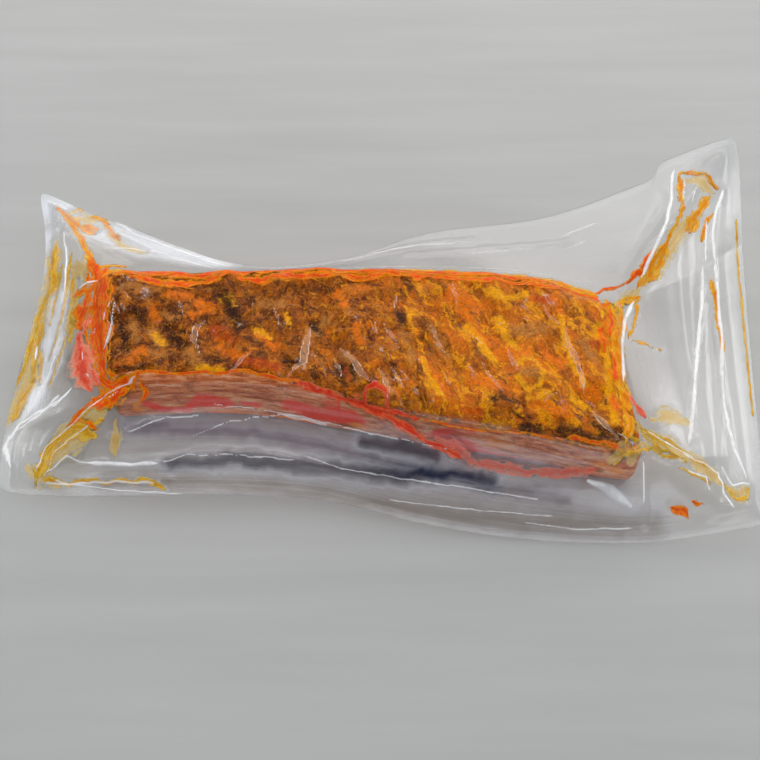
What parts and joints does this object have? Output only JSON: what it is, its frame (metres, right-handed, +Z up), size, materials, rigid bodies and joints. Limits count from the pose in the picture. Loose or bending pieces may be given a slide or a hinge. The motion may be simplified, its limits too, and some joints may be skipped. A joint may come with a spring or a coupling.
{
  "type": "vacuum-packed pork ribs",
  "caption": "Clear vacuum pouch gripping a slab of barbecue pork ribs in orange sauce, with wide sealed flanges, curled back corners and sauce channels running to its corners.",
  "frame": {"origin": "middle of the bounding box in X and Y, on the surface that the pack rests on", "axes": "+X along the slab towards the pouch's wide end, +Y away from the viewer towards the curled back corners, +Z up"},
  "size_m": [0.3572, 0.213, 0.0415],
  "materials": {
    "pouch_film": "clear glossy film, pulled tight over the food and rumpled in the flanges",
    "rib_meat": "roasted brown meat with a wet glaze",
    "sauce": "oily orange barbecue sauce",
    "raw_edge": "wet pink-red meat and red sauce at the slab's foot and end",
    "oil": "clear yellow cooking oil"
  },
  "bodies": {
    "root": {"pouch": "pouch_film"}
  },
  "joints": []
}
